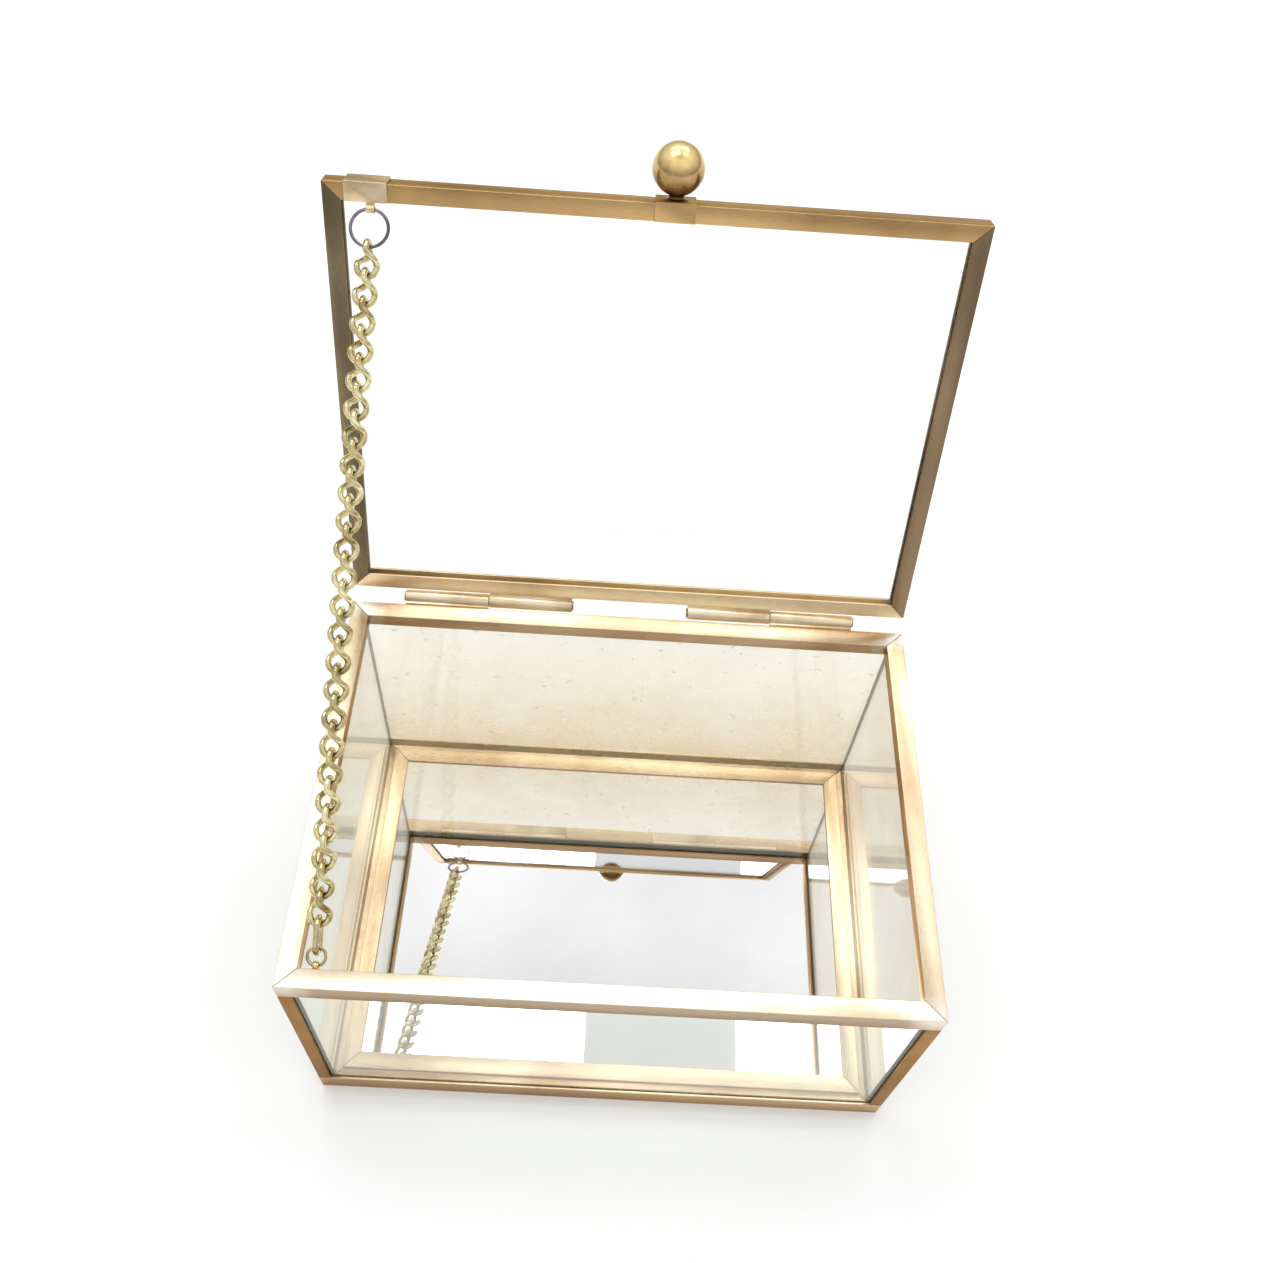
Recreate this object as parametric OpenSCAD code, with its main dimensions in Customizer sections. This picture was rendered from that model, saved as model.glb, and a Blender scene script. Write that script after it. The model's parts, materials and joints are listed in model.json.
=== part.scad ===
// Glass casket box: clear panes in folded brass rails, a mirror floor, a framed glass lid on two
// barrel hinges, a ball knob and a stay chain. The lid is drawn open, as far as the chain lets it go.
// X runs left to right, Y front to back, Z up. The origin is the centre of the underside.

/* [Box] */
// Outer width of the box, left to right
body_w = 140; // [130:1:160]
// Outer depth of the box, front to back
body_d = 100; // [94:1:106]
// Height of the box without its lid
body_h = 70; // [62:1:76]

/* [Sheet and glass] */
// Thickness of the folded brass sheet
sheet_t = 0.6; // [0.5:0.1:0.7]
// Thickness of the glass panes
glass_t = 3; // [2.6:0.1:3.2]
// Thickness of the mirror floor
mirror_t = 3; // [2:0.1:3.5]
// Thickness of the backing pad under the mirror
backing_t = 2.8; // [2:0.1:3]
// Play of a pane in the rails of the box, on each side
glass_play = 0.05; // [0.05:0.01:0.1]
// Play of the mirror between the base rails, on each side
mirror_play = 0.1; // [0.05:0.05:0.3]
// Play of the backing pad between the base rails, on each side
backing_play = 0.2; // [0.1:0.05:0.5]
// Gap between two rails at a mitre, measured along the rail
mitre_gap = 0.03; // [0.02:0.01:0.1]

/* [Base rails] */
// Height of the outer web of the base rails
base_h = 6.4; // [6.2:0.1:7.4]
// Depth of the channel that the panes stand in
channel_w = 5.8; // [5.2:0.1:6.4]
// Width of the strip that holds the mirror down
strip_w = 4; // [2:0.1:6]

/* [Posts and rim] */
// Width of each leg of the corner posts
post_w = 3; // [2:0.1:4]
// Height of the outer web of the rim rails
rim_drop = 5.5; // [4.5:0.1:7]
// Height of the inner web of the rim rails
rim_inner_drop = 3.8; // [3.4:0.1:4.4]

/* [Lid] */
// Width of the lid rails, seen from inside
lid_rail_w = 3.8; // [3.5:0.1:4.2]
// Play of the lid glass in its rails, on each side
lid_play = 0.15; // [0.1:0.01:0.25]
// Gap between the rim and the closed lid
lid_gap = 0.6; // [0.6:0.1:1.2]
// How far the lid stands open, in degrees from closed
open_angle = 108.3; // [104:0.1:111]

/* [Hinges] */
// Outer diameter of the hinge tubes
tube_d = 3.3; // [3:0.1:3.6]
// Diameter of the hinge pins
pin_d = 1.6; // [1.2:0.1:1.8]
// Radial clearance of a pin in its tube
pin_play = 0.05; // [0.03:0.01:0.1]
// Length of one hinge tube
tube_len = 20.9; // [16:0.1:24]
// Gap between the two tubes of a hinge
tube_gap = 0.2; // [0.1:0.05:0.5]
// Distance of each hinge's middle from the end of the box
hinge_in = 34.2; // [32:0.1:40]
// Height of the hinge line above the rim
hinge_up = 0.5; // [0.4:0.1:0.6]
// How far the leaf reaches along the rail
leaf_reach = 4.4; // [3.5:0.1:4.5]

/* [Knob] */
// Diameter of the ball knob
ball_d = 10.9; // [8:0.1:13]
// Distance of the ball's centre in front of the lid
ball_reach = 6.6; // [6.6:0.1:9]
// Diameter of the neck between ball and clip
neck_d = 3.2; // [2:0.1:4.2]
// Distance of the knob from the box's middle, to the right
knob_x = 3.3; // [0:0.1:20]
// Width of the clip that carries the knob
saddle_w = 8.6; // [6:0.1:12]
// Thickness of the clip, strap and lug sheet
clip_t = 0.4; // [0.3:0.05:0.45]

/* [Chain fittings] */
// Distance of the chain's upper end from the left side of the box
chain_top_in = 10; // [9.5:0.1:12]
// Distance of the chain's lower end from the left side of the box
chain_low_in = 7.6; // [7.2:0.1:8.5]
// Width of the strap on the lid
strap_w = 9; // [6:0.1:10]
// How far the strap's middle lies left of the chain
strap_shift = 0.9; // [0:0.1:1]
// Distance of the lid eye from the lid's front edge
eye_in = 5.15; // [5.15:0.05:5.6]
// How far the lid eye hangs below the lid's inner face
eye_drop = 0.2; // [0.1:0.05:0.2]
// Outer diameter of the rolled lid eye
eye_d = 1.65; // [1.4:0.05:1.65]
// Bore of the rolled lid eye
eye_bore = 1; // [0.95:0.05:1]
// Width of the rolled lid eye
eye_w = 1.8; // [1.2:0.1:1.8]
// Distance of the rim eye from the rim's inner web
rim_eye_out = 1.6; // [1.5:0.1:2]
// Depth of the rim eye below the top of the rim
rim_eye_down = 2.4; // [2:0.1:2.6]
// Outer diameter of the rim eye
rim_eye_d = 1.9; // [1.7:0.05:2]
// Bore of the rim eye
rim_eye_bore = 1.2; // [1.1:0.05:1.3]
// Width of the rim eye
rim_eye_w = 1.2; // [0.8:0.1:1.2]
// Height of the plate that the rim eye stands on
rim_plate_h = 2.8; // [2.4:0.1:3]

/* [Chain] */
// Outer diameter of the lid ring
lid_ring_d = 8.6; // [7:0.1:9]
// Wire of the lid ring
lid_ring_wire = 0.72; // [0.6:0.02:0.72]
// Outer diameter of the box ring
box_ring_d = 4.6; // [4.4:0.1:5]
// Wire of the box ring
box_ring_wire = 0.7; // [0.5:0.02:0.7]
// Number of links
link_count = 25; // [25:1:25]
// Width of a link over its wire
link_w = 4.6; // [4.6:0.1:5]
// Wire of the links
link_wire = 1.35; // [1.1:0.05:1.4]
// Clearance where two chain pieces hook together
hook_play = 0.1; // [0.05:0.01:0.15]

/* [Hidden] */
$fn = 64;
half_w = body_w / 2;
half_d = body_d / 2;
hinge_x = half_w - hinge_in;
// Where glass may stand, inwards from the outer faces
pane_in = sheet_t + glass_play;
rim_w = 2 * sheet_t + glass_t + 2 * glass_play;
// Heights of the mirror, the strip over it and the ledge that the panes stand on
mirror_top = backing_t + mirror_t;
strip_top = mirror_top + sheet_t;
ledge_top = mirror_top - sheet_t;
mirror_in = channel_w + mirror_play;
backing_in = channel_w + backing_play;
// The strip runs level with the top of the outer web, or the web stands a little over it
web_h = max(base_h, strip_top);
pane_top = body_h - sheet_t - glass_play;
// Lid, drawn closed and then turned open about the hinge line
lid_h = 2 * sheet_t + glass_t + 2 * lid_play;
lid_low = body_h + lid_gap;
lid_mid = lid_low + lid_h / 2;
tube_sink = 0.1;
hinge_y = half_d + sheet_t + tube_d / 2 - tube_sink;
hinge_z = body_h + hinge_up;
pin_head_d = 2.4;
pin_head_t = 0.35;
end_play = 0.05;
// Chain run, as [y, z] points of the side view
function turned(p, a) = [p[0] * cos(a) - p[1] * sin(a), p[0] * sin(a) + p[1] * cos(a)];
hinge_yz = [hinge_y, hinge_z];
eye_closed = [eye_in - half_d, lid_low - eye_drop];
eye_yz = hinge_yz + turned(eye_closed - hinge_yz, -open_angle);
rim_eye_yz = [rim_w + rim_eye_out - half_d, body_h - rim_eye_down];
chain_run = rim_eye_yz - eye_yz;
chain_len = norm(chain_run);
chain_dir = chain_run / chain_len;
chain_tilt = atan2(chain_dir[0], -chain_dir[1]);
lid_ring_reach = lid_ring_d - lid_ring_wire;
box_ring_reach = box_ring_d - box_ring_wire;
// Distance between the wire centres of two pieces where they hook
link_hook = link_wire + hook_play;
lid_hook = (lid_ring_wire + link_wire) / 2 + hook_play;
box_hook = (box_ring_wire + link_wire) / 2 + hook_play;
links_len = chain_len - lid_ring_reach - box_ring_reach + lid_hook + box_hook;
pitch = (links_len - link_hook) / link_count;
link_half = (pitch + link_hook) / 2;
link_bend = (link_w - link_wire) / 2;
link_leg = link_half - link_bend;
// The chain is drawn open at this link, whose lower end stops short of the next one
open_link = 11;
open_cut = -0.9;
arc_steps = 8;
leg_steps = 4;
wire_sides = 8;
// The chain runs a little sideways, from the lid's eye to the rim's eye
chain_top_x = chain_top_in - half_w;
chain_low_x = chain_low_in - half_w;

brass = "#c9a468";
brass_dark = "#a88352";
brass_pale = "#d8cf8c";
clear = [0.8, 0.9, 0.88, 0.35];

SIDES = ["front", "right", "rear", "left"];
CORNERS = ["front_left", "front_right", "rear_right", "rear_left"];
HINGES = ["left", "right"];

function link_name(k) = str("chain_link_", k < 10 ? "0" : "", k);
// Outer length of a side, and how far its face lies from the middle
function side_len(i) = i % 2 == 0 ? body_w : body_d;
function side_out(i) = i % 2 == 0 ? half_d : half_w;

// Turns what is drawn for the front side, with its outer face at y = 0, round to side i
module at_side(i) {
    rotate([0, 0, 90 * i])
        translate([0, -side_out(i), 0])
            children();
}

// A rail along X, cut to 45 degrees at both ends; its child is the profile, drawn inwards and up
module mitred_rail(len, deep, tall) {
    reach = len / 2 - mitre_gap;
    intersection() {
        rotate([90, 0, 90])
            linear_extrude(len, center = true)
                children();
        translate([0, 0, -1])
            linear_extrude(tall + 2)
                polygon([[-reach - 1, -1], [reach + 1, -1], [reach - deep, deep], [deep - reach, deep]]);
    }
}

module strip(from, size) {
    translate(from)
        square(size);
}

module base_profile() {
    strip([0, 0], [sheet_t, web_h]);
    strip([0, 0], [channel_w, sheet_t]);
    strip([0, ledge_top - sheet_t], [channel_w, sheet_t]);
    strip([channel_w - sheet_t, ledge_top - sheet_t], [sheet_t, strip_top - ledge_top + sheet_t]);
    strip([channel_w - sheet_t, strip_top - sheet_t], [strip_w, sheet_t]);
}

module base_rail(i) {
    color(brass)
        at_side(i)
            mitred_rail(side_len(i), channel_w + strip_w, web_h)
                base_profile();
}

module rim_profile() {
    strip([0, body_h - sheet_t], [rim_w, sheet_t]);
    strip([0, body_h - rim_drop], [sheet_t, rim_drop]);
    strip([rim_w - sheet_t, body_h - rim_inner_drop], [sheet_t, rim_inner_drop]);
}

module rim_rail(i) {
    color(brass)
        at_side(i)
            mitred_rail(side_len(i), rim_w + 1, body_h)
                rim_profile();
}

// Corner angle from the base rails to the rim rails
module post(i) {
    color(brass)
        rotate([0, 0, 90 * i])
            translate([-side_out(i + 1), -side_out(i), web_h])
                linear_extrude(body_h - rim_drop - web_h)
                    difference() {
                        square(post_w);
                        strip([sheet_t, sheet_t], [post_w, post_w]);
                    }
}

// The front and rear panes run the full width, and the side panes stand between them
module pane(i) {
    between = i % 2 == 0 ? 0 : glass_t + glass_play;
    len = side_len(i) - 2 * (pane_in + between);
    color(clear)
        at_side(i)
            translate([-len / 2, pane_in, ledge_top])
                cube([len, glass_t, pane_top - ledge_top]);
}

// A plate that lies this far inside the outer faces
module floor_plate(inset, low, thick) {
    translate([inset - half_w, inset - half_d, low])
        cube([body_w - 2 * inset, body_d - 2 * inset, thick]);
}

module mirror_floor() {
    color("#cfd6dc")
        floor_plate(mirror_in, backing_t, mirror_t);
}

module backing_pad() {
    color("#4a4038")
        floor_plate(backing_in, 0, backing_t);
}

// Turns what is drawn on the closed lid to where the open lid has it
module on_open_lid() {
    translate([0, hinge_y, hinge_z])
        rotate([-open_angle, 0, 0])
            translate([0, -hinge_y, -hinge_z])
                children();
}

module lid_profile() {
    strip([0, lid_low], [sheet_t, lid_h]);
    strip([0, lid_low], [lid_rail_w, sheet_t]);
    strip([0, lid_low + lid_h - sheet_t], [lid_rail_w, sheet_t]);
}

module lid_rail(i) {
    color(brass_dark)
        on_open_lid()
            at_side(i)
                mitred_rail(side_len(i), lid_rail_w + 1, lid_low + lid_h)
                    lid_profile();
}

module lid_glass() {
    color(clear)
        on_open_lid()
            floor_plate(sheet_t + lid_play, lid_low + sheet_t + lid_play, glass_t);
}

// A clip of thin sheet that wraps the front lid rail, this wide and centred on this x
module lid_clip(x, wide) {
    translate([x - wide / 2, -half_d, lid_low])
        difference() {
            translate([0, -clip_t, -clip_t])
                cube([wide, lid_rail_w + clip_t, lid_h + 2 * clip_t]);
            translate([-1, 0, 0])
                cube([wide + 2, lid_rail_w + 1, lid_h]);
        }
}

module knob_saddle() {
    color(brass)
        on_open_lid()
            lid_clip(knob_x, saddle_w);
}

module ball_knob() {
    neck = ball_reach - clip_t;
    color(brass)
        on_open_lid()
            translate([knob_x, -half_d - ball_reach, lid_mid])
                rotate([-90, 0, 0]) {
                    sphere(d = ball_d);
                    cylinder(d = neck_d, h = neck);
                }
}

// A tube along X with a bore, centred on the origin
module tube_x(len, outer, bore) {
    rotate([0, 90, 0])
        difference() {
            cylinder(d = outer, h = len, center = true);
            cylinder(d = bore, h = len + 1, center = true);
        }
}

// Strap with a lug and a rolled eye that holds the lid ring
module lid_strap() {
    lug_y = lid_rail_w - half_d - clip_t;
    lug_end = eye_closed[0] - (eye_d + eye_bore) / 4;
    color(brass)
        on_open_lid() {
            lid_clip(chain_top_x - strap_shift, strap_w);
            translate([chain_top_x - eye_w / 2, lug_y, lid_low - clip_t])
                cube([eye_w, lug_end - lug_y, clip_t]);
            translate([chain_top_x, eye_closed[0], eye_closed[1]])
                tube_x(eye_w, eye_d, eye_bore);
        }
}

// Lug on the inner web of the front rim rail, with a rolled eye that holds the box ring
module rim_eye() {
    web_y = rim_w - half_d;
    plate = [2 * rim_eye_w, clip_t, rim_plate_h];
    lug_len = rim_eye_out - (rim_eye_d + rim_eye_bore) / 4;
    color(brass_dark) {
        translate([chain_low_x - plate[0] / 2, web_y, rim_eye_yz[1] - plate[2] / 2])
            cube(plate);
        translate([chain_low_x - rim_eye_w / 2, web_y, rim_eye_yz[1] - clip_t / 2])
            cube([rim_eye_w, lug_len, clip_t]);
        translate([chain_low_x, rim_eye_yz[0], rim_eye_yz[1]])
            tube_x(rim_eye_w, rim_eye_d, rim_eye_bore);
    }
}

// A hinge tube from x to x + tube_len, with its leaf; the leaf runs up the lid or down the rim
module knuckle(x, up) {
    color(brass) {
        translate([x + tube_len / 2, hinge_y, hinge_z])
            tube_x(tube_len, tube_d, pin_d + 2 * pin_play);
        translate([x, half_d, up ? hinge_z : hinge_z - leaf_reach])
            cube([tube_len, sheet_t, leaf_reach]);
    }
}

// The box's tubes are the outer ones of the two hinges, and the lid's tubes the inner ones
module box_knuckle(right) {
    knuckle(right ? hinge_x + tube_gap / 2 : -hinge_x - tube_gap / 2 - tube_len, false);
}

module lid_knuckle(right) {
    on_open_lid()
        knuckle(right ? hinge_x - tube_gap / 2 - tube_len : tube_gap / 2 - hinge_x, true);
}

// Pin with a peened head at each end
module hinge_pin(right) {
    span = 2 * tube_len + tube_gap + 2 * end_play;
    color(brass_dark)
        translate([right ? hinge_x : -hinge_x, hinge_y, hinge_z])
            rotate([0, 90, 0]) {
                cylinder(d = pin_d, h = span, center = true);
                for (end = [-1, 1])
                    translate([0, 0, end * (span + pin_head_t) / 2])
                        cylinder(d = pin_head_d, h = pin_head_t, center = true);
            }
}

// Places what hangs in the chain, this far below the lid's eye; its own +Z points back to the lid
module on_chain(x, down) {
    at = eye_yz + down * chain_dir;
    translate([x, at[0], at[1]])
        rotate([chain_tilt, 0, 0])
            children();
}

// A round ring that lies in the plane of the chain and the X axis
module wire_ring(outer, wire) {
    rotate([90, 0, 0])
        rotate_extrude()
            translate([(outer - wire) / 2, 0])
                circle(d = wire, $fn = 24);
}

module lid_ring() {
    color("#5b5752")
        on_chain(chain_top_x, lid_ring_reach / 2)
            wire_ring(lid_ring_d, lid_ring_wire);
}

module box_ring() {
    color(brass_pale)
        on_chain(chain_low_x, chain_len - box_ring_reach / 2)
            wire_ring(box_ring_d, box_ring_wire);
}

// Centreline of a link, as [sideways, up] points: two half circles and two straight legs
link_line = concat(
    [for (i = [0:arc_steps]) bend_point(180 * i / arc_steps, link_leg)],
    [for (i = [1:leg_steps - 1]) [-link_bend, link_leg * (1 - 2 * i / leg_steps)]],
    [for (i = [0:arc_steps]) bend_point(180 + 180 * i / arc_steps, -link_leg)],
    [for (i = [1:leg_steps - 1]) [link_bend, -link_leg * (1 - 2 * i / leg_steps)]]
);
function bend_point(a, up) = [link_bend * cos(a), up + link_bend * sin(a)];

// The link's plane turns by this much from its lower end to its upper end
function ease(t) = t * t * (3 - 2 * t);
function plane_turn(up, twist) =
    90 - twist + twist * ease(min(1, max(0, (up / link_leg + 1) / 2)));
function wire_point(p, twist) =
    let (a = plane_turn(p[1], twist)) [p[0] * cos(a), p[0] * sin(a), p[1]];
function unit(v) = v / norm(v);

// One ring of the link's wire: round the centreline at point i
function wire_section(i, twist) =
    let (
        n = len(link_line),
        here = wire_point(link_line[i], twist),
        along = unit(wire_point(link_line[(i + 1) % n], twist)
            - wire_point(link_line[(i + n - 1) % n], twist)),
        a = plane_turn(link_line[i][1], twist),
        flat = [-sin(a), cos(a), 0],
        side = unit(flat - (flat * along) * along),
        out = cross(along, side)
    )
    [for (k = [0:wire_sides - 1])
        here + link_wire / 2 * (cos(360 * k / wire_sides) * side + sin(360 * k / wire_sides) * out)];

// A closed wire link, twisted by this many degrees along its length
module wire_link(twist) {
    n = len(link_line);
    m = wire_sides;
    polyhedron(
        points = [for (i = [0:n - 1]) each wire_section(i, twist)],
        faces = [for (i = [0:n - 1], k = [0:m - 1])
            let (j = (i + 1) % n, l = (k + 1) % m)
            each [[i * m + k, i * m + l, j * m + l], [i * m + k, j * m + l, j * m + k]]]
    );
}

// Twisted links hook at right angles; the last one is flat, so that it hooks the box ring
module chain_link(k) {
    down = lid_ring_reach - lid_hook + link_half + (k - 1) * pitch;
    x = chain_top_x + (chain_low_x - chain_top_x) * k / (link_count + 1);
    color(brass_pale)
        on_chain(x, down)
            difference() {
                wire_link(k == link_count ? 0 : 90);
                if (k == open_link)
                    translate([0, 0, open_cut - link_w])
                        cube(2 * link_w, center = true);
            }
}

for (i = [0:3]) {
    base_rail(i);
    post(i);
    rim_rail(i);
    pane(i);
    lid_rail(i);
}
for (i = [0:1]) {
    box_knuckle(i == 1);
    lid_knuckle(i == 1);
    hinge_pin(i == 1);
}
for (k = [1:link_count]) {
    chain_link(k);
}
mirror_floor();
backing_pad();
lid_glass();
knob_saddle();
ball_knob();
lid_strap();
rim_eye();
lid_ring();
box_ring();
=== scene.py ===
import json
import math

import bmesh
import bpy
from mathutils import Matrix, Vector

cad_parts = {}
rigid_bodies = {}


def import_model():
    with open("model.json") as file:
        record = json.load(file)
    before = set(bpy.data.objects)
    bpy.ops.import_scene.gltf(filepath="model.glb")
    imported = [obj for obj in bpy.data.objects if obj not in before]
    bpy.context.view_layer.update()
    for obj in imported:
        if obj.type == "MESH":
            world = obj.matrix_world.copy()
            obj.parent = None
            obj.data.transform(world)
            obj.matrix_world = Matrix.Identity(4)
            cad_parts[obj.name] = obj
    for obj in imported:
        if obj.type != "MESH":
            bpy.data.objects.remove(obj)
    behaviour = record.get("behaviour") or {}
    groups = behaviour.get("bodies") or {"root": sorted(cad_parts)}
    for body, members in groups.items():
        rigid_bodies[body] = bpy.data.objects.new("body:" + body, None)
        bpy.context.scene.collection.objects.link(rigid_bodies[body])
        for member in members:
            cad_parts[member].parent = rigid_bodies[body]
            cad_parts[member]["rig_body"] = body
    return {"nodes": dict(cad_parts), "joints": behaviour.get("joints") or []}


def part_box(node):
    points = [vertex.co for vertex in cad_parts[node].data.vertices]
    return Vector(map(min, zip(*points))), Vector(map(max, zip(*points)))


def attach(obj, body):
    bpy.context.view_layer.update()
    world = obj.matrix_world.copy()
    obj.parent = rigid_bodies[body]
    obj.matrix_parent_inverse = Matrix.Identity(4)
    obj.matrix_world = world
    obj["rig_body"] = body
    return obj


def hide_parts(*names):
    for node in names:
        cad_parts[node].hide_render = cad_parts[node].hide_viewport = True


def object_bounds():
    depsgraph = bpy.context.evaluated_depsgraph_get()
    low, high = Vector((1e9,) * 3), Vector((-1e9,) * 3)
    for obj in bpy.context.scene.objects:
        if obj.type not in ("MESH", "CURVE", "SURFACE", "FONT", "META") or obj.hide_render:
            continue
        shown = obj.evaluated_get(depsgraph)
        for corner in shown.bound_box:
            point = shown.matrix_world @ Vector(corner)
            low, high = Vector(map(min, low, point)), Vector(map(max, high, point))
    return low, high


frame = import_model()
cad_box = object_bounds()

MM = 0.001
JOINTS = {j["name"]: j for j in frame["joints"]}
OPEN_ANGLE = math.radians(JOINTS["lid_hinge"]["range_deg"][1])
HINGE_AT = Vector(JOINTS["lid_hinge"]["pos_m"])
BOX_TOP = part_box("rim_rail_front")[1].z
SIDES = ("front", "right", "rear", "left")
CORNERS = ("front_left", "front_right", "rear_right", "rear_left")
HINGES = ("left", "right")
AXIS_X = Vector((1, 0, 0))

# Camera: place, the point it looks at, turn about its own axis, and focal length on a 36 mm frame
CAMERA_AT = Vector((-6.8, -135.9, 319.2)) * MM
CAMERA_TO = Vector((1.3, 60.1, 50.0)) * MM
CAMERA_ROLL = math.radians(5.33)
CAMERA_LENS = 34.8
SENSOR_WIDTH = 36.0
CLIP_START = 0.005

# Lamps: name, left and right end, depth, place along Y, and radiance. They hang level where the
# tops of the front and of the rear rim rail mirror them to the camera
LAMP_HEIGHT = 0.9
LAMPS = (
    ("front_bar_left", -0.42, 0.0, 0.16, 0.21, 4.5),
    ("front_bar_right", 0.15, 0.36, 0.16, 0.21, 2.2),
    ("rear_bar", -0.36, 0.46, 0.20, 0.66, 4.0),
)

# Floor: half its length, its grey, and the distances between which it fades into the white round it
FLOOR_SIZE = 3.0
FLOOR_GREY = (0.93, 0.93, 0.93, 1)
FLOOR_FADE = (0.3, 0.9)
FLOOR_DROP = 0.02 * MM

# Chain: wire and width of a link, and the play where two links hook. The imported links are 4.6 mm
# wide, narrower than these
LINK_COUNT = 25
LINK_WIRE = 1.35 * MM
LINK_WIDTH = 5.5 * MM
HOOK_PLAY = 0.1 * MM
LID_RING_WIRE = 0.72 * MM
BOX_RING_WIRE = 0.7 * MM
WIRE_SIDES = 16
RING_STEPS = 96
BEND_STEPS = 20
LEG_STEPS = 12

# How far edges are rounded: folded rails and posts, bent fittings, rolled hinge tubes
RAIL_EASE = 0.16 * MM
FITTING_EASE = 0.1 * MM
TUBE_EASE = 0.12 * MM
EASE_STEPS = 2
EASE_ABOVE = math.radians(35)
FLAT_BELOW = math.radians(0.8)
WELD_WITHIN = 0.002 * MM

# Neck of the knob: its radius, and its flare as (share of that radius, height over the clip)
NECK_R = 1.6 * MM
NECK_FLARE = ((1.02, 0.45 * MM), (1.25, 0.15 * MM), (1.6, 0.0))
BALL_STEPS = 48
LATHE_SIDES = 96


# ---------------------------------------------------------------- colours

def srgb(red, green, blue):
    """Linear colour of an 8-bit screen colour."""
    return tuple(
        c / 12.92 if c <= 0.04045 else ((c + 0.055) / 1.055) ** 2.4
        for c in (red / 255, green / 255, blue / 255)
    )


def tones(light, mid, dark):
    """The three tones of a brushed metal, as colours for brushed_brass."""
    return {"light": srgb(*light), "mid": srgb(*mid), "dark": srgb(*dark)}


BASE_TONES = tones((248, 228, 196), (232, 206, 172), (196, 162, 128))
# A darker copy of the rail brass for the corner posts, as painted shade
POST_SHADED_TONES = tones((180, 142, 102), (148, 112, 76), (108, 82, 56))
# Lit and shaded copies of one rim brass, one per side: the paler front and left are painted
# highlight, the darker rear and right painted shade
RIM_LIT_TONES = {
    "front": tones((254, 247, 232), (246, 228, 200), (220, 188, 148)),
    "right": tones((244, 226, 194), (226, 196, 158), (188, 152, 114)),
    "rear": tones((244, 226, 196), (222, 194, 158), (186, 150, 112)),
    "left": tones((250, 240, 214), (240, 220, 184), (212, 182, 142)),
}
# Lit and shaded copies of one lid brass, one per rail: the pale rear rail is painted highlight, the
# dark left and right rails painted shade
LID_LIT_TONES = {
    "front": tones((226, 188, 130), (198, 162, 110), (156, 122, 80)),
    "right": tones((160, 136, 106), (128, 108, 86), (96, 78, 62)),
    "rear": tones((254, 232, 192), (250, 218, 172), (206, 166, 122)),
    "left": tones((166, 148, 118), (136, 120, 94), (100, 86, 68)),
}
STRAP_TONES = tones((252, 238, 208), (232, 204, 156), (196, 158, 106))
TUBE_TONES = tones((254, 244, 218), (244, 224, 188), (198, 166, 126))

# Painted shade on the faces that don't look up, as a factor on the metal's colour
SIDE_SHADE = (0.56, 0.43, 0.32)
FRONT_WEB_SHADE = (0.3, 0.19, 0.1)
SOLDER = srgb(246, 240, 226)
# Tint of brushed brass seen at a grazing angle
BRASS_GLANCE = (0.7, 0.58, 0.46, 1)

# Bright brass and steel of the small pieces
SMALL_METALS = {
    "fitting_brass": dict(
        light=srgb(246, 220, 164), dark=srgb(210, 172, 112), rough=(0.2, 0.36), scale=110.0,
    ),
    # The knob's dark tone serves both tarnish spots and the painted shade on its lower part
    "knob_brass": dict(
        light=srgb(248, 216, 150), dark=srgb(118, 82, 46), rough=(0.14, 0.28), scale=90.0,
    ),
    "chain_brass": dict(
        light=srgb(248, 238, 190), dark=srgb(168, 144, 92), rough=(0.1, 0.24), grime_and_shade_reach=2.0 * MM,
    ),
    "ring_steel": dict(light=srgb(158, 148, 158), dark=srgb(108, 98, 108)),
    "pin_brass": dict(light=srgb(196, 160, 104), dark=srgb(140, 108, 70)),
}
# Heights over the knob's lowest point between which its painted shade clears, in radii of the ball
KNOB_SHADE_RISE = (0.7, 2.1)

# Glass: the warm translucent layer on the rear pane, the dimmer one at the sides, ground edges, body
# and shade
WARM_LAYER = srgb(236, 212, 172)
DIM_WARM_LAYER = srgb(196, 170, 132)
EDGE_GRIT = (srgb(58, 62, 50), srgb(128, 136, 118))
GLASS_BODY = (0.55, 0.86, 0.74, 1)
GLASS_DENSITY = 18.0
GLASS_SHADE = (0.93, 0.95, 0.93, 1)
GLASS_IOR = 1.5
PANES = {
    "front": dict(tint=(0.96, 0.97, 0.93)),
    "rear": dict(
        tint=(0.99, 0.98, 0.93), layer_colour=WARM_LAYER, low_share=0.38, top_share=0.08, specks=0.4,
    ),
    "left": dict(tint=(0.94, 0.94, 0.87), across="X", layer_colour=DIM_WARM_LAYER, top_share=0.12),
    "right": dict(tint=(0.99, 0.95, 0.88), across="X", layer_colour=DIM_WARM_LAYER, top_share=0.16),
}
LID_TINT = (0.99, 0.995, 0.99)

SILVER = (srgb(240, 240, 240), srgb(250, 250, 250))
FELT = (srgb(52, 44, 40), srgb(78, 66, 58))

# Sky that metal and the mirror reflect: (height, brightness), and the same for its soft clouds
SKY_RISE = ((0.0, 0.38), (0.3, 0.6), (0.6, 0.9), (0.86, 1.02), (0.92, 1.0), (0.97, 0.7))
SKY_CLOUD = ((0.38, 0.9), (0.6, 1.04))

# Noise scale by axis: it is stretched into streaks along the one named, or along none
GRAIN = {"x": (1, 30, 30), "y": (30, 1, 30), "z": (30, 30, 1), "none": (1, 1, 1)}


# ---------------------------------------------------------------- node helpers

def new_material(name):
    mat = bpy.data.materials.new(name)
    mat.use_nodes = True
    mat.node_tree.nodes.clear()
    return mat, mat.node_tree


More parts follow.
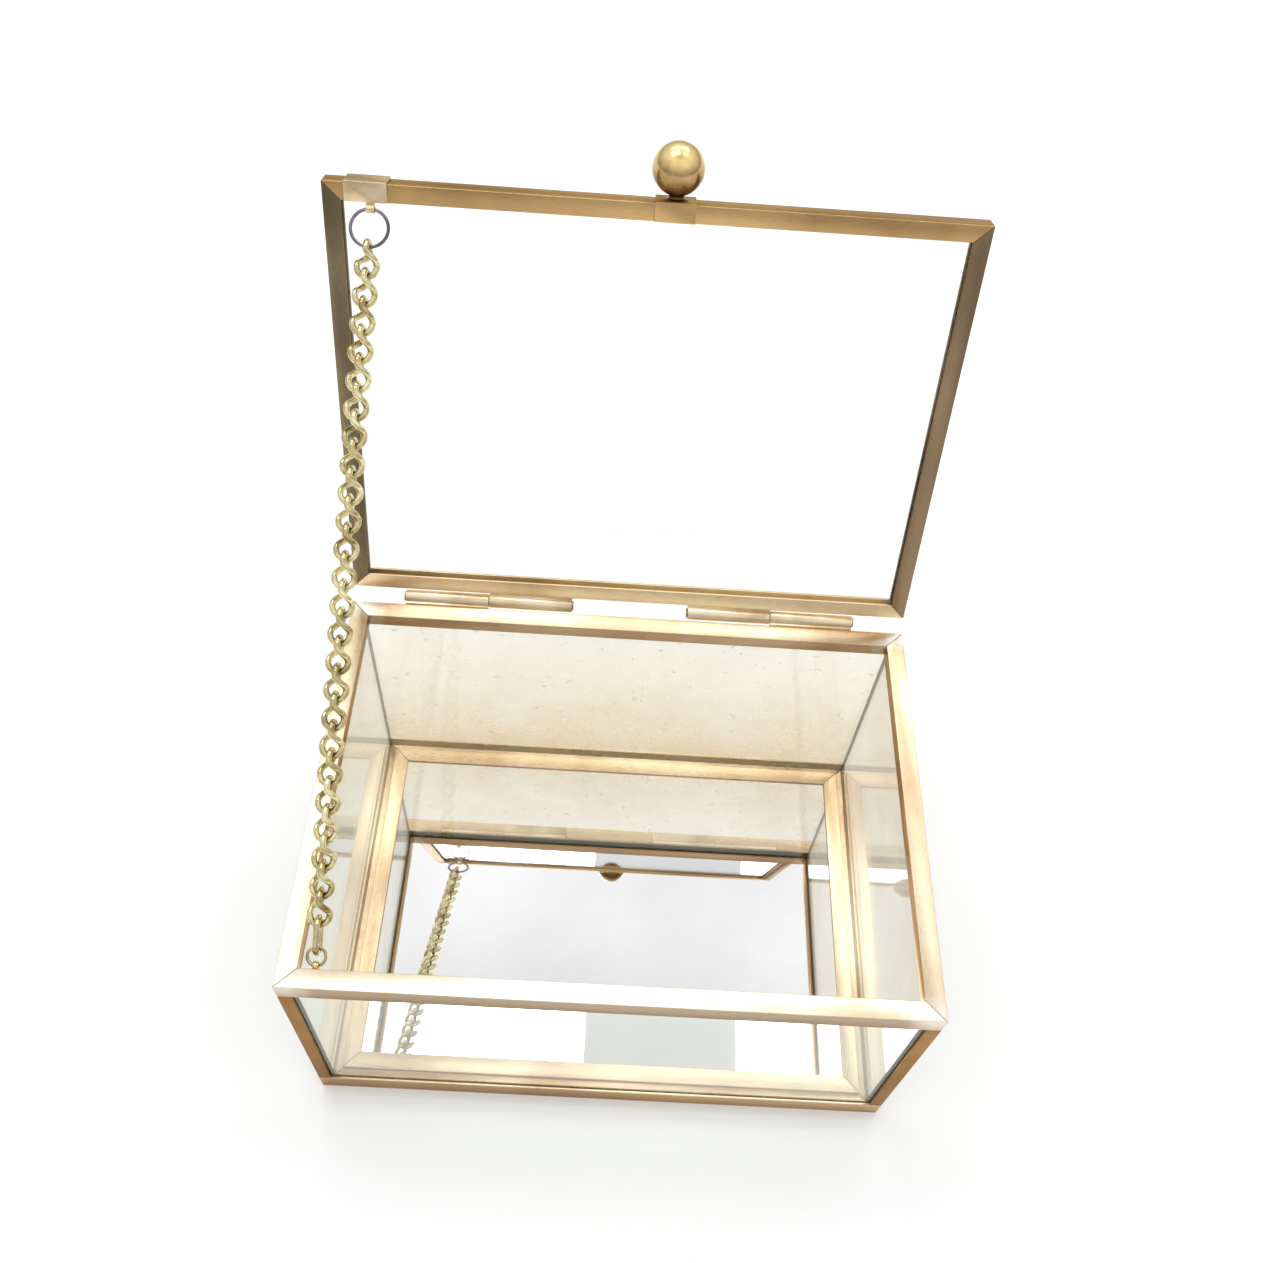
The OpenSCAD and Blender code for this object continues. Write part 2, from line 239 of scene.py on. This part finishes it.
def add(tree, kind, **values):
    """A node of this kind; values set its properties, or inputs where the name is no property."""
    node = tree.nodes.new(kind)
    for key, value in values.items():
        if hasattr(node, key):
            setattr(node, key, value)
        else:
            node.inputs[key.replace("_", " ")].default_value = value
    return node


def link(tree, source, target):
    tree.links.new(source, target)


def put(tree, socket, value):
    """Links value into socket where it is a socket itself, and sets it where it is a constant."""
    if isinstance(value, bpy.types.NodeSocket):
        link(tree, value, socket)
    elif isinstance(value, (int, float)):
        socket.default_value = value
    else:
        socket.default_value = (*value, 1)


def local_vector(tree, scale, tilt=0.0):
    """Object coordinates, turned by tilt about X and scaled, so that noise follows a rail."""
    coord = add(tree, "ShaderNodeTexCoord")
    turn = add(tree, "ShaderNodeMapping", vector_type="POINT")
    turn.inputs["Rotation"].default_value = (tilt, 0, 0)
    size = add(tree, "ShaderNodeMapping", vector_type="POINT")
    size.inputs["Scale"].default_value = scale
    link(tree, coord.outputs["Object"], turn.inputs["Vector"])
    link(tree, turn.outputs["Vector"], size.inputs["Vector"])
    return size.outputs["Vector"]


def part_of(tree, vector, axis):
    """One axis, X, Y or Z, of a vector."""
    node = add(tree, "ShaderNodeSeparateXYZ")
    link(tree, vector, node.inputs[0])
    return node.outputs[axis]


def facing(tree, axis):
    """How far a face looks along this axis of its own object."""
    return part_of(tree, add(tree, "ShaderNodeTexCoord").outputs["Normal"], axis)


def noise(tree, vector, scale, detail=4.0, rough=0.6):
    node = add(tree, "ShaderNodeTexNoise", Scale=scale, Detail=detail, Roughness=rough)
    link(tree, vector, node.inputs["Vector"])
    return node.outputs["Fac"]


def ramp(tree, value, *stops):
    """Colour ramp with (position, colour) stops; a colour may be one number for a grey."""
    node = add(tree, "ShaderNodeValToRGB")
    marks = node.color_ramp.elements
    while len(marks) < len(stops):
        marks.new(0.5)
    for mark, (place, colour) in zip(marks, stops):
        mark.position = place
        grey = isinstance(colour, (int, float))
        mark.color = (colour, colour, colour, 1) if grey else (*colour, 1)
    link(tree, value, node.inputs["Fac"])
    return node.outputs["Color"]


def mix_colour(tree, share, first, second, blend="MIX"):
    node = add(tree, "ShaderNodeMix", data_type="RGBA", blend_type=blend)
    factor, colour_a, colour_b = (node.inputs[i] for i in (0, 6, 7))
    put(tree, factor, share)
    put(tree, colour_a, first)
    put(tree, colour_b, second)
    return node.outputs[2]


def tinted(tree, first, second):
    """One colour multiplied by another."""
    return mix_colour(tree, 1.0, first, second, "MULTIPLY")


def math_node(tree, how, first, second):
    node = add(tree, "ShaderNodeMath", operation=how)
    put(tree, node.inputs[0], first)
    put(tree, node.inputs[1], second)
    return node.outputs[0]


def times(tree, first, second):
    return math_node(tree, "MULTIPLY", first, second)


def absolute(tree, value):
    return math_node(tree, "ABSOLUTE", value, 0.0)


def bump(tree, height, depth, strength=1.0):
    node = add(tree, "ShaderNodeBump", Strength=strength, Distance=depth)
    link(tree, height, node.inputs["Height"])
    return node.outputs["Normal"]


def mix_shader(tree, share, first, second):
    node = add(tree, "ShaderNodeMixShader")
    for socket, source in zip(node.inputs, (share, first, second)):
        link(tree, source, socket)
    return node.outputs[0]


def output(tree, surface, volume=None, kind="ShaderNodeOutputMaterial"):
    """Ends the tree with this surface, and with this volume where there is one."""
    out = add(tree, kind)
    link(tree, surface, out.inputs["Surface"])
    if volume is not None:
        link(tree, volume, out.inputs["Volume"])


def metal(tree, colour, satin, normal=None):
    """Metal shader; colour, roughness and normal come from other nodes."""
    shader = add(tree, "ShaderNodeBsdfPrincipled", Metallic=1.0)
    link(tree, colour, shader.inputs["Base Color"])
    link(tree, satin, shader.inputs["Roughness"])
    if normal is not None:
        link(tree, normal, shader.inputs["Normal"])
    return shader


# ---------------------------------------------------------------- materials

def corner_share(tree, place, wobble):
    """1 in the four corners of the box, 0 elsewhere, with a soft uneven border."""
    shares = []
    for axis, reach in (("X", cad_box[1][0]), ("Y", -cad_box[0][1])):
        out = math_node(tree, "DIVIDE", absolute(tree, part_of(tree, place, axis)), reach)
        ragged = math_node(tree, "ADD", out, times(tree, wobble, 0.1))
        shares.append(ramp(tree, ragged, (0.93, 0.0), (1.0, 0.95)))
    return times(tree, *shares)


def brushed_brass(
    name, grain, light, mid, dark,
    tilt=0.0, rough=(0.22, 0.4), patch=26.0, side_shade_factor=None, solder=False,
):
    """Satin brass: long brushed streaks, browner patches, edges lightened as rubbed wear and as a
    painted highlight.

    patch is the noise scale of the patches; a factor for the faces that don't look up paints shade
    on them, so they are darker; solder whitens the box's corners."""
    mat, tree = new_material(name)
    along = local_vector(tree, GRAIN[grain], tilt)
    free = local_vector(tree, GRAIN["none"], tilt)
    streaks = noise(tree, along, scale=420.0, detail=5.0, rough=0.7)
    patches = noise(tree, free, scale=patch, detail=3.0, rough=0.55)
    specks = noise(tree, free, scale=900.0, detail=2.0, rough=0.5)
    body = ramp(tree, patches, (0.34, dark), (0.5, mid), (0.66, light))
    toned = tinted(tree, body, ramp(tree, streaks, (0.3, 0.82), (0.7, 1.08)))
    # Painted shade: faces that don't look up are darkened by this factor
    if side_shade_factor:
        toned = tinted(tree, toned, ramp(tree, facing(tree, "Z"), (0.2, side_shade_factor), (0.75, 1.0)))
    # Edges lightened by pointiness: partly rubbed wear, partly a painted highlight along the folds
    pointed = add(tree, "ShaderNodeNewGeometry").outputs["Pointiness"]
    rubbed_and_highlit = ramp(tree, pointed, (0.52, 0.0), (0.62, 1.0))
    colour = mix_colour(tree, times(tree, rubbed_and_highlit, 0.6), toned, light)
    if solder:
        share = corner_share(tree, free, noise(tree, free, scale=240.0))
        colour = mix_colour(tree, share, colour, SOLDER)
    satin = ramp(tree, streaks, (0.3, rough[0]), (0.7, rough[1]))
    height = math_node(tree, "ADD", streaks, times(tree, specks, 0.3))
    shader = metal(tree, colour, satin, bump(tree, height, depth=0.02 * MM, strength=0.5))
    shader.inputs["Specular Tint"].default_value = BRASS_GLANCE
    output(tree, shader.outputs[0])
    return mat


def polished_brass(
    name, light, dark,
    rough=(0.12, 0.3), scale=160.0, dent=0.01 * MM, grime_and_shade_reach=0.0, fade=None,
):
    """Bright metal of small fittings: tarnish spots, fine scratches, grime and painted shade in
    recesses this deep.

    fade gives two heights, at rest, between which painted shade on the lower part clears."""
    mat, tree = new_material(name)
    free = local_vector(tree, GRAIN["none"])
    spots = noise(tree, free, scale, detail=4.0, rough=0.6)
    fine = noise(tree, free, scale * 8, detail=3.0, rough=0.6)
    # Painted shade: the lower part is darker, clearing upwards between the two heights
    if fade:
        low, high = fade
        above = math_node(tree, "SUBTRACT", part_of(tree, free, "Z"), low)
        rise = math_node(tree, "DIVIDE", above, high - low)
        spots = math_node(tree, "ADD", times(tree, spots, 0.5), times(tree, rise, 0.5))
    colour = ramp(tree, spots, (0.36, dark), (0.62, light))
    if grime_and_shade_reach:
        # Grime and painted shade: an occlusion node darkens the recesses where parts meet
        open_share = add(tree, "ShaderNodeAmbientOcclusion", Distance=grime_and_shade_reach).outputs["AO"]
        colour = tinted(tree, colour, ramp(tree, open_share, (0.25, 0.35), (0.8, 1.0)))
    satin = ramp(tree, fine, (0.3, rough[0]), (0.7, rough[1]))
    shader = metal(tree, colour, satin, bump(tree, fine, depth=dent, strength=0.6))
    output(tree, shader.outputs[0])
    return mat


def warm_layered(tree, free, surface, layer_colour, low_share, top_share, specks):
    """The glass with a mottled warm translucent layer mixed in, denser at the foot of the pane than
    at its top.
    """
    height = math_node(tree, "DIVIDE", part_of(tree, free, "Z"), BOX_TOP)
    mean_share = (low_share + top_share) / 2
    fade = ramp(tree, height, (0.15, low_share), (0.5, mean_share), (0.9, top_share))
    clouds = noise(tree, free, scale=45.0, detail=6.0, rough=0.65)
    cloud = ramp(tree, clouds, (0.3, 0.6), (0.7, 1.3))
    spots = noise(tree, free, scale=420.0, detail=3.0, rough=0.5)
    dots = ramp(tree, spots, (0.66, 0.0), (0.76, specks))
    warm_layer = add(tree, "ShaderNodeBsdfTranslucent")
    warm_layer.inputs["Color"].default_value = (*layer_colour, 1)
    share = math_node(tree, "ADD", times(tree, fade, cloud), dots)
    return mix_shader(tree, share, surface, warm_layer.outputs[0])


def edged(tree, free, surface, across):
    """The glass with dull, dark ground edges, which are the faces that don't look along across."""
    flat = absolute(tree, facing(tree, across))
    dull = add(tree, "ShaderNodeBsdfDiffuse")
    grit = ramp(tree, noise(tree, free, scale=700.0), *zip((0.35, 0.7), EDGE_GRIT))
    link(tree, grit, dull.inputs["Color"])
    edge_share = ramp(tree, flat, (0.4, 1.0), (0.6, 0.0))
    return mix_shader(tree, edge_share, surface, dull.outputs[0])


def pane_glass(name, tint, across="Y", layer_colour=None, low_share=0.0, top_share=0.0, specks=0.0):
    """Clear sheet glass that lets lamps through; across is the axis of its thickness.

    A warm colour given there adds a mottled translucent layer, with its share at the foot and at the
    top of the pane."""
    mat, tree = new_material(name)
    free = local_vector(tree, GRAIN["none"])
    glass = add(tree, "ShaderNodeBsdfPrincipled", Roughness=0.0, IOR=GLASS_IOR)
    glass.inputs["Transmission Weight"].default_value = 1.0
    glass.inputs["Base Color"].default_value = (*tint, 1)
    surface = glass.outputs[0]
    if layer_colour:
        surface = warm_layered(tree, free, surface, layer_colour, low_share, top_share, specks)
    if across:
        surface = edged(tree, free, surface, across)
    through = add(tree, "ShaderNodeBsdfTransparent")
    through.inputs["Color"].default_value = GLASS_SHADE
    shadow_ray = add(tree, "ShaderNodeLightPath").outputs["Is Shadow Ray"]
    lit = mix_shader(tree, shadow_ray, surface, through.outputs[0])
    depth = add(tree, "ShaderNodeVolumeAbsorption", Density=GLASS_DENSITY)
    depth.inputs["Color"].default_value = GLASS_BODY
    output(tree, lit, depth.outputs[0])
    return mat


def mirror_glass():
    """Silvered glass with a faint bloom of dust and fingerprints."""
    mat, tree = new_material("mirror")
    free = local_vector(tree, GRAIN["none"])
    bloom = noise(tree, free, scale=30.0, detail=5.0, rough=0.6)
    silver = ramp(tree, bloom, *zip((0.3, 0.7), SILVER))
    smooth = ramp(tree, bloom, (0.3, 0.0), (0.7, 0.03))
    output(tree, metal(tree, silver, smooth).outputs[0])
    return mat


def backing_board():
    """Dark matt board with a felted grain."""
    mat, tree = new_material("backing")
    free = local_vector(tree, GRAIN["none"])
    felt = noise(tree, free, scale=1500.0, detail=4.0, rough=0.7)
    shader = add(tree, "ShaderNodeBsdfPrincipled", Roughness=0.9)
    link(tree, ramp(tree, felt, *zip((0.3, 0.7), FELT)), shader.inputs["Base Color"])
    link(tree, bump(tree, felt, depth=0.08 * MM), shader.inputs["Normal"])
    output(tree, shader.outputs[0])
    return mat


# ---------------------------------------------------------------- mesh helpers

def new_object(name, bm, material, smooth=True):
    mesh = bpy.data.meshes.new(name)
    bm.to_mesh(mesh)
    bm.free()
    for face in mesh.polygons:
        face.use_smooth = smooth
    mesh.materials.append(material)
    obj = bpy.data.objects.new(name, mesh)
    bpy.context.scene.collection.objects.link(obj)
    return obj


def bake_modifiers(obj):
    """Applies the object's modifiers to its mesh."""
    depsgraph = bpy.context.evaluated_depsgraph_get()
    mesh = bpy.data.meshes.new_from_object(obj.evaluated_get(depsgraph))
    obj.modifiers.clear()
    obj.data = mesh


def stand_for(obj, node):
    """The piece rides where the node rides and is shown in its place."""
    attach(obj, frame["nodes"][node]["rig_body"])
    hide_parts(node)


def set_material(node, material):
    """Dresses a CAD node that is shown as it is."""
    obj = frame["nodes"][node]
    obj.data.materials.clear()
    obj.data.materials.append(material)


def eased_copy(node, name, material, edge):
    """The node's own shape with its sharp edges rounded by edge, as on bent and rubbed metal."""
    bm = bmesh.new()
    bm.from_mesh(frame["nodes"][node].data)
    bmesh.ops.remove_doubles(bm, verts=bm.verts, dist=WELD_WITHIN)
    bmesh.ops.dissolve_limit(bm, angle_limit=FLAT_BELOW, verts=bm.verts, edges=bm.edges)
    obj = new_object(name, bm, material)
    bevel = obj.modifiers.new("edges", "BEVEL")
    bevel.width = edge
    bevel.segments = EASE_STEPS
    bevel.limit_method = "ANGLE"
    bevel.angle_limit = EASE_ABOVE
    bevel.harden_normals = True
    bake_modifiers(obj)
    stand_for(obj, node)


def turn_angles(steps):
    """The angles of a full turn in this many steps."""
    return [2 * math.pi * k / steps for k in range(steps)]


def sweep_closed(bm, centres, normals, radius):
    """A closed round wire along these centres; normals gives a direction across it at each."""
    count = len(centres)
    rings = []
    for i, (centre, across) in enumerate(zip(centres, normals)):
        tangent = (centres[(i + 1) % count] - centres[i - 1]).normalized()
        side = (across - across.dot(tangent) * tangent).normalized()
        up = tangent.cross(side)
        rings.append([
            bm.verts.new(centre + radius * (math.cos(a) * side + math.sin(a) * up))
            for a in turn_angles(WIRE_SIDES)
        ])
    for i in range(count):
        here, following = rings[i], rings[(i + 1) % count]
        for k in range(WIRE_SIDES):
            n = (k + 1) % WIRE_SIDES
            bm.faces.new((here[k], here[n], following[n], following[k]))


def lathe(bm, profile, place):
    """Turns (radius, height) points about the local Z axis of place; ends on it are closed."""
    rings = []
    for radius, height in profile:
        if radius == 0:
            rings.append([bm.verts.new(place @ Vector((0, 0, height)))])
        else:
            rings.append([
                bm.verts.new(place @ Vector((radius * math.cos(a), radius * math.sin(a), height)))
                for a in turn_angles(LATHE_SIDES)
            ])
    for low, high in zip(rings, rings[1:]):
        for k in range(LATHE_SIDES):
            n = (k + 1) % LATHE_SIDES
            corners = [
                low[k % len(low)], low[n % len(low)], high[n % len(high)], high[k % len(high)],
            ]
            face = list(dict.fromkeys(corners))
            if len(face) > 2:
                bm.faces.new(face)


# ---------------------------------------------------------------- box and lid

def make_rails():
    """Base, rim and lid rails and the corner posts, with folded edges and brushed faces."""
    for side in SIDES:
        grain = "x" if side in ("front", "rear") else "y"
        # The front rim's web gets a deeper painted shade than the other rails
        web_shade = FRONT_WEB_SHADE if side == "front" else SIDE_SHADE
        looks = {
            "base": brushed_brass(
                f"base_{side}_brass", grain, side_shade_factor=SIDE_SHADE, **BASE_TONES),
            "rim": brushed_brass(
                f"rim_{side}_brass", grain, side_shade_factor=web_shade, solder=True, **RIM_LIT_TONES[side]),
            "lid": brushed_brass(
                f"lid_{side}_brass", grain, tilt=OPEN_ANGLE, **LID_LIT_TONES[side]),
        }
        for kind, mat in looks.items():
            rail = f"{kind}_rail_{side}"
            eased_copy(rail, f"{rail}_folded", mat, RAIL_EASE)
    upright = brushed_brass("post_brass", "z", **POST_SHADED_TONES)
    for corner in CORNERS:
        eased_copy(f"post_{corner}", f"post_{corner}_folded", upright, RAIL_EASE)


def make_panes():
    for side, look in PANES.items():
        set_material(f"pane_{side}", pane_glass(f"{side}_pane_glass", **look))
    set_material("lid_glass", pane_glass("lid_clear_glass", LID_TINT, across=None))


def make_floor_pieces():
    set_material("mirror_floor", mirror_glass())
    set_material("backing_pad", backing_board())


# ---------------------------------------------------------------- fittings

def about_hinge(point, angle):
    """The point turned about the lid's hinge."""
    return HINGE_AT + Matrix.Rotation(angle, 3, "X") @ (point - HINGE_AT)


def shut_box(node):
    """Lowest and highest corner of a lid node with the lid turned shut."""
    points = [about_hinge(v.co, OPEN_ANGLE) for v in frame["nodes"][node].data.vertices]
    return (
        Vector(min(p[i] for p in points) for i in range(3)),
        Vector(max(p[i] for p in points) for i in range(3)),
    )


def make_knob(brass):
    """Ball with a neck that flares into the clip.

    Its places are found on the shut lid, where it stands out to the front, and turned open."""
    rail_low, rail_high = shut_box("lid_rail_front")
    knob_low, knob_high = shut_box("ball_knob")
    axis_x, axis_z = (knob_low.x + knob_high.x) / 2, (rail_low.z + rail_high.z) / 2
    radius = (knob_high.x - knob_low.x) / 2
    centre = about_hinge(Vector((axis_x, knob_low.y + radius, axis_z)), -OPEN_ANGLE)
    clip_face = about_hinge(Vector((axis_x, knob_high.y, axis_z)), -OPEN_ANGLE)
    out = Matrix.Rotation(-OPEN_ANGLE, 3, "X") @ Vector((0, -1, 0))
    reach = (clip_face - centre).dot(-out)
    ball_end = math.acos(-math.sqrt(1 - (NECK_R / radius) ** 2))
    profile = [(0, radius)]
    for i in range(1, BALL_STEPS + 1):
        a = ball_end * i / BALL_STEPS
        profile.append((radius * math.sin(a), radius * math.cos(a)))
    profile += [(NECK_R * share, height - reach) for share, height in NECK_FLARE]
    profile.append((0, -reach))
    turn = out.to_track_quat("Z", "Y").to_matrix().to_4x4()
    bm = bmesh.new()
    lathe(bm, profile[::-1], Matrix.Translation(centre) @ turn)
    obj = new_object("ball_knob_turned", bm, brass)
    stand_for(obj, "ball_knob")


def make_fittings(brass):
    saddle = brushed_brass("saddle_brass", "x", tilt=OPEN_ANGLE, **LID_LIT_TONES["front"])
    strap = brushed_brass("strap_brass", "x", tilt=OPEN_ANGLE, patch=110.0, **STRAP_TONES)
    tube = brushed_brass("tube_brass", "x", patch=60.0, **TUBE_TONES)
    for node, mat in (("knob_saddle", saddle), ("lid_strap", strap), ("rim_eye", brass)):
        eased_copy(node, f"{node}_bent", mat, FITTING_EASE)
    for hinge in HINGES:
        for carrier in ("box", "lid"):
            node = f"{carrier}_knuckle_{hinge}"
            eased_copy(node, f"{node}_rolled", tube, TUBE_EASE)


def make_pins(brass):
    for hinge in HINGES:
        set_material(f"hinge_pin_{hinge}", brass)


# ---------------------------------------------------------------- stay chain

def chain_points():
    """Direction down the chain, pitch, and the hook point above link 2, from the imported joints."""
    second = Vector(JOINTS["chain_links_02_03_swing"]["pos_m"])
    tenth = Vector(JOINTS["chain_links_10_11_swing"]["pos_m"])
    run = Vector((0, tenth.y - second.y, tenth.z - second.z))
    return run.normalized(), run.length / (10 - 2), second


def make_chain(brass, ring_metal):
    """25 links twisted by a quarter turn, the lowest one flat, between the two rings."""
    down, pitch, second = chain_points()
    half = (pitch + LINK_WIRE + HOOK_PLAY) / 2
    bend = (LINK_WIDTH - LINK_WIRE) / 2
    outline = link_outline(bend, half - bend)
    for k in range(1, LINK_COUNT + 1):
        name = f"chain_link_{k:02d}"
        low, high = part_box(name)
        lower_hook = second + (k - 1) * pitch * down
        middle = Vector(((low.x + high.x) / 2, lower_hook.y, lower_hook.z)) - half * down
        twist = 0 if k == LINK_COUNT else math.pi / 2
        bm = bmesh.new()
        sweep_closed(bm, *link_line(outline, middle, down, half - bend, twist), LINK_WIRE / 2)
        obj = new_object(f"{name}_wire", bm, brass)
        stand_for(obj, name)
    make_ring("lid_ring", ring_metal, LID_RING_WIRE, down)
    make_ring("box_ring", brass, BOX_RING_WIRE, down)


def link_outline(bend, leg):
    """(sideways, height) points round a flat link: a bend and a leg, and both again from below."""
    outline = []
    for end in (1, -1):
        start = 0 if end == 1 else math.pi
        for i in range(BEND_STEPS + 1):
            a = start + math.pi * i / BEND_STEPS
            outline.append((bend * math.cos(a), end * leg + bend * math.sin(a)))
        for i in range(1, LEG_STEPS):
            outline.append((-end * bend, end * leg * (1 - 2 * i / LEG_STEPS)))
    return outline


def link_line(outline, middle, down, leg, twist):
    """Centres of a link's wire, and a direction across it at each.

    The link stands in the side plane, and its lower end is turned by twist towards X."""
    side_axis = down.cross(AXIS_X)
    centres, across = [], []
    for sideways, height in outline:
        t = min(1, max(0, (height / leg + 1) / 2))
        turn = math.pi / 2 - twist * (1 - t * t * (3 - 2 * t))
        plane = math.cos(turn) * AXIS_X + math.sin(turn) * side_axis
        centres.append(middle + sideways * plane - height * down)
        across.append(-math.sin(turn) * AXIS_X + math.cos(turn) * side_axis)
    return centres, across


def make_ring(node, look, wire, down):
    """Round wire ring across the chain's side plane, as wide as the node."""
    low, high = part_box(node)
    middle = (low + high) / 2
    radius = (high.x - low.x - wire) / 2
    normal = down.cross(AXIS_X).normalized()
    centres = [
        middle + radius * (math.cos(a) * AXIS_X + math.sin(a) * down)
        for a in turn_angles(RING_STEPS)
    ]
    bm = bmesh.new()
    sweep_closed(bm, centres, [normal] * RING_STEPS, wire / 2)
    obj = new_object(f"{node}_wire", bm, look)
    stand_for(obj, node)


# ---------------------------------------------------------------- stage, light, camera

def make_stage():
    """Pale floor that fades into the white round it far from the box, so that no edge shows."""
    bm = bmesh.new()
    bmesh.ops.create_grid(bm, x_segments=1, y_segments=1, size=FLOOR_SIZE)
    mat, tree = new_material("pale_floor")
    shader = add(tree, "ShaderNodeBsdfDiffuse")
    shader.inputs["Color"].default_value = FLOOR_GREY
    far_white = add(tree, "ShaderNodeEmission", Strength=1.0)
    away = add(tree, "ShaderNodeVectorMath", operation="LENGTH")
    link(tree, local_vector(tree, GRAIN["none"]), away.inputs[0])
    near, far = FLOOR_FADE
    share = ramp(tree, away.outputs["Value"], (near, 0.0), (far, 1.0))
    output(tree, mix_shader(tree, share, shader.outputs[0], far_white.outputs[0]))
    floor = new_object("pale_floor", bm, mat, smooth=False)
    floor.location.z = cad_box[0][2] - FLOOR_DROP


def make_world():
    """White all round. Metal and the mirror reflect a dimmer, slightly uneven sky instead.

    Rays through clear glass count as glossy too, so they are left out of that part."""
    world = bpy.data.worlds.new("studio")
    bpy.context.scene.world = world
    world.use_nodes = True
    tree = world.node_tree
    tree.nodes.clear()
    path = add(tree, "ShaderNodeLightPath")
    place = add(tree, "ShaderNodeTexCoord").outputs["Generated"]
    rise = ramp(tree, part_of(tree, place, "Z"), *SKY_RISE)
    cloud = ramp(tree, noise(tree, place, scale=3.2, detail=2.0, rough=0.5), *SKY_CLOUD)
    past_glass = math_node(tree, "SUBTRACT", 1.0, path.outputs["Is Transmission Ray"])
    mirrored = times(tree, path.outputs["Is Glossy Ray"], past_glass)
    back = add(tree, "ShaderNodeBackground", Strength=1.0)
    sky = mix_colour(tree, mirrored, (1, 1, 1), tinted(tree, rise, cloud))
    link(tree, sky, back.inputs["Color"])
    output(tree, back.outputs[0], kind="ShaderNodeOutputWorld")


def bar_lamp(name, left, right, deep, at_y, radiance):
    """A flat lamp that hangs level over the box and shines down."""
    data = bpy.data.lights.new(name, "AREA")
    data.shape = "RECTANGLE"
    data.size, data.size_y = right - left, deep
    data.energy = radiance * math.pi * data.size * data.size_y
    obj = bpy.data.objects.new(name, data)
    obj.location = ((left + right) / 2, at_y, LAMP_HEIGHT)
    bpy.context.scene.collection.objects.link(obj)


def make_lamps():
    for lamp in LAMPS:
        bar_lamp(*lamp)


def make_camera():
    data = bpy.data.cameras.new("photo_view")
    data.lens = CAMERA_LENS
    data.sensor_width = SENSOR_WIDTH
    data.clip_start = CLIP_START
    camera = bpy.data.objects.new("photo_view", data)
    look = (CAMERA_TO - CAMERA_AT).to_track_quat("-Z", "Y").to_matrix()
    turned = look @ Matrix.Rotation(CAMERA_ROLL, 3, "Z")
    camera.matrix_world = Matrix.Translation(CAMERA_AT) @ turned.to_4x4()
    bpy.context.scene.collection.objects.link(camera)
    bpy.context.scene.camera = camera


def make_small_metals():
    """The bright metals by name; the knob's painted shade lies on its lower part."""
    low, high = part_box("ball_knob")
    ball_r = (high.x - low.x) / 2
    shade_heights = {"knob_brass": tuple(low.z + share * ball_r for share in KNOB_SHADE_RISE)}
    return {
        name: polished_brass(name, fade=shade_heights.get(name), **look)
        for name, look in SMALL_METALS.items()
    }


def main():
    bpy.context.scene.view_settings.view_transform = "Standard"
    make_camera()
    make_world()
    make_lamps()
    make_stage()
    metals = make_small_metals()
    make_rails()
    make_panes()
    make_floor_pieces()
    make_fittings(metals["fitting_brass"])
    make_knob(metals["knob_brass"])
    make_pins(metals["pin_brass"])
    make_chain(metals["chain_brass"], metals["ring_steel"])


main()
